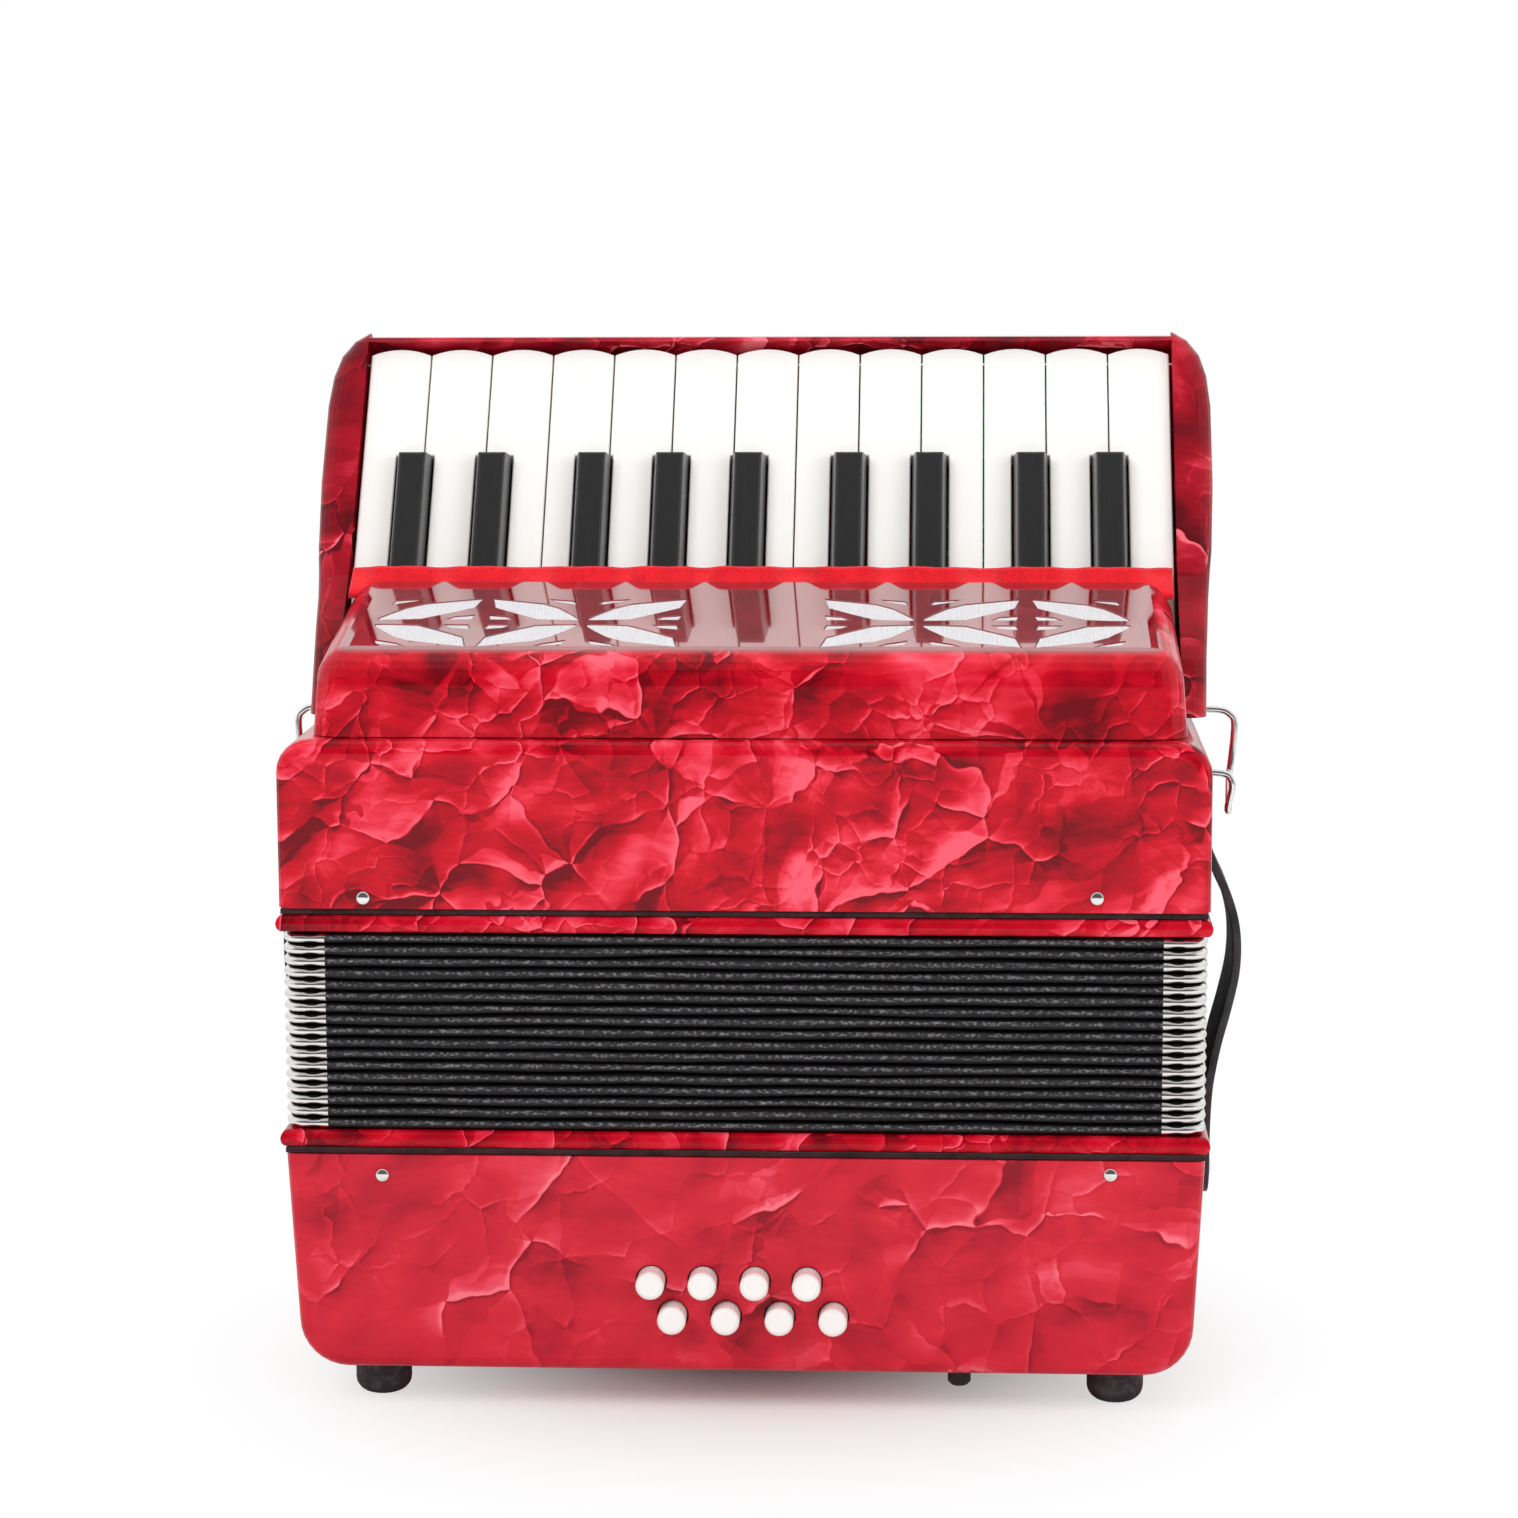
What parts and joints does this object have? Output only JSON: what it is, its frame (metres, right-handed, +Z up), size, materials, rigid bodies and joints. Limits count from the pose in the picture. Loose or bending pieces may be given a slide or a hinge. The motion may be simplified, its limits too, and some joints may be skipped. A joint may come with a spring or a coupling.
{
  "type": "piano accordion",
  "caption": "Small piano accordion: pleated bellows between a keyboard treble end with a fretted grille cover and a bass end with push buttons, straps and feet.",
  "frame": {"origin": "centre of the bounding box on the floor under the rubber feet", "axes": "+Z up from the bass end to the keyboard, -Y the audience side with the bass buttons, +X along the keyboard towards its low notes"},
  "size_m": [0.3086, 0.158, 0.3189],
  "materials": {
    "pearl_red": "gloss",
    "white_key": "gloss",
    "black_key": "gloss",
    "button": "gloss",
    "black_plastic": "satin",
    "rubber": "matte",
    "wood": "matte",
    "gasket": "matte",
    "bellows": "satin",
    "leather": "satin",
    "chrome": "polished",
    "steel": "satin",
    "cloth": "matte",
    "felt": "matte"
  },
  "bodies": {
    "bass": {"bass_case": "pearl_red", "bass_valve_chest": "wood", "bass_reed_block": "wood", "bass_gasket": "gasket", "bass_bellows_frame": "pearl_red", "bellows": "bellows", "foot_1": "rubber", "foot_2": "rubber", "foot_3": "rubber", "foot_4": "rubber", "hand_strap": "leather", "hand_strap_plate_1": "chrome", "hand_strap_plate_2": "chrome", "strap_stud_right": "chrome", "strap_stud_left": "chrome"},
    "treble": {"treble_bellows_frame": "pearl_red", "treble_gasket": "gasket", "treble_case": "pearl_red", "treble_soundboard": "wood", "treble_reed_block": "wood", "grille_cover": "pearl_red", "grille_cloth": "cloth", "dust_felt": "felt", "keyboard_body": "pearl_red", "key_axle": "steel", "strap_bracket_right": "chrome", "strap_bracket_left": "chrome"},
    "white_key_01": {"white_key_01": "white_key"},
    "white_key_02": {"white_key_02": "white_key"},
    "white_key_03": {"white_key_03": "white_key"},
    "white_key_04": {"white_key_04": "white_key"},
    "white_key_05": {"white_key_05": "white_key"},
    "white_key_06": {"white_key_06": "white_key"},
    "white_key_07": {"white_key_07": "white_key"},
    "white_key_08": {"white_key_08": "white_key"},
    "white_key_09": {"white_key_09": "white_key"},
    "white_key_10": {"white_key_10": "white_key"},
    "white_key_11": {"white_key_11": "white_key"},
    "white_key_12": {"white_key_12": "white_key"},
    "white_key_13": {"white_key_13": "white_key"},
    "black_key_01": {"black_key_01": "black_key"},
    "black_key_02": {"black_key_02": "black_key"},
    "black_key_03": {"black_key_03": "black_key"},
    "black_key_04": {"black_key_04": "black_key"},
    "black_key_05": {"black_key_05": "black_key"},
    "black_key_06": {"black_key_06": "black_key"},
    "black_key_07": {"black_key_07": "black_key"},
    "black_key_08": {"black_key_08": "black_key"},
    "black_key_09": {"black_key_09": "black_key"},
    "bass_button_1": {"bass_button_1": "button"},
    "bass_button_2": {"bass_button_2": "button"},
    "bass_button_3": {"bass_button_3": "button"},
    "bass_button_4": {"bass_button_4": "button"},
    "bass_button_5": {"bass_button_5": "button"},
    "bass_button_6": {"bass_button_6": "button"},
    "bass_button_7": {"bass_button_7": "button"},
    "bass_button_8": {"bass_button_8": "button"},
    "air_button": {"air_button": "black_plastic"},
    "bellows_strap_right": {"bellows_strap_right": "leather"},
    "bellows_strap_left": {"bellows_strap_left": "leather"}
  },
  "joints": [
    {"name": "bellows_draw", "type": "slide", "parent": "bass", "child": "treble", "axis": [0, 0, 1], "range_m": [0, 0.2], "deforming": ["bellows"]},
    {"name": "white_key_01_press", "type": "hinge", "parent": "treble", "child": "white_key_01", "pos_m": [0, 0.01648, 0.23002], "axis": [-1, 0, 0], "range_deg": [0, 2.8], "stiffness_Nm_per_rad": 0.8, "springref_deg": -5.73},
    {"name": "white_key_02_press", "type": "hinge", "parent": "treble", "child": "white_key_02", "pos_m": [0, 0.01648, 0.23002], "axis": [-1, 0, 0], "range_deg": [0, 2.8], "stiffness_Nm_per_rad": 0.8, "springref_deg": -5.73},
    {"name": "white_key_03_press", "type": "hinge", "parent": "treble", "child": "white_key_03", "pos_m": [0, 0.01648, 0.23002], "axis": [-1, 0, 0], "range_deg": [0, 2.8], "stiffness_Nm_per_rad": 0.8, "springref_deg": -5.73},
    {"name": "white_key_04_press", "type": "hinge", "parent": "treble", "child": "white_key_04", "pos_m": [0, 0.01648, 0.23002], "axis": [-1, 0, 0], "range_deg": [0, 2.8], "stiffness_Nm_per_rad": 0.8, "springref_deg": -5.73},
    {"name": "white_key_05_press", "type": "hinge", "parent": "treble", "child": "white_key_05", "pos_m": [0, 0.01648, 0.23002], "axis": [-1, 0, 0], "range_deg": [0, 2.8], "stiffness_Nm_per_rad": 0.8, "springref_deg": -5.73},
    {"name": "white_key_06_press", "type": "hinge", "parent": "treble", "child": "white_key_06", "pos_m": [0, 0.01648, 0.23002], "axis": [-1, 0, 0], "range_deg": [0, 2.8], "stiffness_Nm_per_rad": 0.8, "springref_deg": -5.73},
    {"name": "white_key_07_press", "type": "hinge", "parent": "treble", "child": "white_key_07", "pos_m": [0, 0.01648, 0.23002], "axis": [-1, 0, 0], "range_deg": [0, 2.8], "stiffness_Nm_per_rad": 0.8, "springref_deg": -5.73},
    {"name": "white_key_08_press", "type": "hinge", "parent": "treble", "child": "white_key_08", "pos_m": [0, 0.01648, 0.23002], "axis": [-1, 0, 0], "range_deg": [0, 2.8], "stiffness_Nm_per_rad": 0.8, "springref_deg": -5.73},
    {"name": "white_key_09_press", "type": "hinge", "parent": "treble", "child": "white_key_09", "pos_m": [0, 0.01648, 0.23002], "axis": [-1, 0, 0], "range_deg": [0, 2.8], "stiffness_Nm_per_rad": 0.8, "springref_deg": -5.73},
    {"name": "white_key_10_press", "type": "hinge", "parent": "treble", "child": "white_key_10", "pos_m": [0, 0.01648, 0.23002], "axis": [-1, 0, 0], "range_deg": [0, 2.8], "stiffness_Nm_per_rad": 0.8, "springref_deg": -5.73},
    {"name": "white_key_11_press", "type": "hinge", "parent": "treble", "child": "white_key_11", "pos_m": [0, 0.01648, 0.23002], "axis": [-1, 0, 0], "range_deg": [0, 2.8], "stiffness_Nm_per_rad": 0.8, "springref_deg": -5.73},
    {"name": "white_key_12_press", "type": "hinge", "parent": "treble", "child": "white_key_12", "pos_m": [0, 0.01648, 0.23002], "axis": [-1, 0, 0], "range_deg": [0, 2.8], "stiffness_Nm_per_rad": 0.8, "springref_deg": -5.73},
    {"name": "white_key_13_press", "type": "hinge", "parent": "treble", "child": "white_key_13", "pos_m": [0, 0.01648, 0.23002], "axis": [-1, 0, 0], "range_deg": [0, 2.8], "stiffness_Nm_per_rad": 0.8, "springref_deg": -5.73},
    {"name": "black_key_01_press", "type": "hinge", "parent": "treble", "child": "black_key_01", "pos_m": [0, 0.01648, 0.23002], "axis": [-1, 0, 0], "range_deg": [0, 2.8], "stiffness_Nm_per_rad": 0.8, "springref_deg": -5.73},
    {"name": "black_key_02_press", "type": "hinge", "parent": "treble", "child": "black_key_02", "pos_m": [0, 0.01648, 0.23002], "axis": [-1, 0, 0], "range_deg": [0, 2.8], "stiffness_Nm_per_rad": 0.8, "springref_deg": -5.73},
    {"name": "black_key_03_press", "type": "hinge", "parent": "treble", "child": "black_key_03", "pos_m": [0, 0.01648, 0.23002], "axis": [-1, 0, 0], "range_deg": [0, 2.8], "stiffness_Nm_per_rad": 0.8, "springref_deg": -5.73},
    {"name": "black_key_04_press", "type": "hinge", "parent": "treble", "child": "black_key_04", "pos_m": [0, 0.01648, 0.23002], "axis": [-1, 0, 0], "range_deg": [0, 2.8], "stiffness_Nm_per_rad": 0.8, "springref_deg": -5.73},
    {"name": "black_key_05_press", "type": "hinge", "parent": "treble", "child": "black_key_05", "pos_m": [0, 0.01648, 0.23002], "axis": [-1, 0, 0], "range_deg": [0, 2.8], "stiffness_Nm_per_rad": 0.8, "springref_deg": -5.73},
    {"name": "black_key_06_press", "type": "hinge", "parent": "treble", "child": "black_key_06", "pos_m": [0, 0.01648, 0.23002], "axis": [-1, 0, 0], "range_deg": [0, 2.8], "stiffness_Nm_per_rad": 0.8, "springref_deg": -5.73},
    {"name": "black_key_07_press", "type": "hinge", "parent": "treble", "child": "black_key_07", "pos_m": [0, 0.01648, 0.23002], "axis": [-1, 0, 0], "range_deg": [0, 2.8], "stiffness_Nm_per_rad": 0.8, "springref_deg": -5.73},
    {"name": "black_key_08_press", "type": "hinge", "parent": "treble", "child": "black_key_08", "pos_m": [0, 0.01648, 0.23002], "axis": [-1, 0, 0], "range_deg": [0, 2.8], "stiffness_Nm_per_rad": 0.8, "springref_deg": -5.73},
    {"name": "black_key_09_press", "type": "hinge", "parent": "treble", "child": "black_key_09", "pos_m": [0, 0.01648, 0.23002], "axis": [-1, 0, 0], "range_deg": [0, 2.8], "stiffness_Nm_per_rad": 0.8, "springref_deg": -5.73},
    {"name": "bass_button_1_press", "type": "slide", "parent": "bass", "child": "bass_button_1", "axis": [0, 1, 0], "range_m": [0, 0.004], "stiffness_N_per_m": 300, "springref_m": -0.004},
    {"name": "bass_button_2_press", "type": "slide", "parent": "bass", "child": "bass_button_2", "axis": [0, 1, 0], "range_m": [0, 0.004], "stiffness_N_per_m": 300, "springref_m": -0.004},
    {"name": "bass_button_3_press", "type": "slide", "parent": "bass", "child": "bass_button_3", "axis": [0, 1, 0], "range_m": [0, 0.004], "stiffness_N_per_m": 300, "springref_m": -0.004},
    {"name": "bass_button_4_press", "type": "slide", "parent": "bass", "child": "bass_button_4", "axis": [0, 1, 0], "range_m": [0, 0.004], "stiffness_N_per_m": 300, "springref_m": -0.004},
    {"name": "bass_button_5_press", "type": "slide", "parent": "bass", "child": "bass_button_5", "axis": [0, 1, 0], "range_m": [0, 0.004], "stiffness_N_per_m": 300, "springref_m": -0.004},
    {"name": "bass_button_6_press", "type": "slide", "parent": "bass", "child": "bass_button_6", "axis": [0, 1, 0], "range_m": [0, 0.004], "stiffness_N_per_m": 300, "springref_m": -0.004},
    {"name": "bass_button_7_press", "type": "slide", "parent": "bass", "child": "bass_button_7", "axis": [0, 1, 0], "range_m": [0, 0.004], "stiffness_N_per_m": 300, "springref_m": -0.004},
    {"name": "bass_button_8_press", "type": "slide", "parent": "bass", "child": "bass_button_8", "axis": [0, 1, 0], "range_m": [0, 0.004], "stiffness_N_per_m": 300, "springref_m": -0.004},
    {"name": "air_button_press", "type": "slide", "parent": "bass", "child": "air_button", "axis": [0, 0, 1], "range_m": [0, 0.004], "stiffness_N_per_m": 300, "springref_m": -0.004},
    {"name": "bellows_strap_right_swing", "type": "hinge", "parent": "treble", "child": "bellows_strap_right", "pos_m": [0.14, 0.0035, 0.1755], "axis": [0, -1, 0], "range_deg": [0, 60]},
    {"name": "bellows_strap_left_swing", "type": "hinge", "parent": "treble", "child": "bellows_strap_left", "pos_m": [-0.14, 0.0035, 0.1755], "axis": [0, 1, 0], "range_deg": [0, 60]}
  ]
}
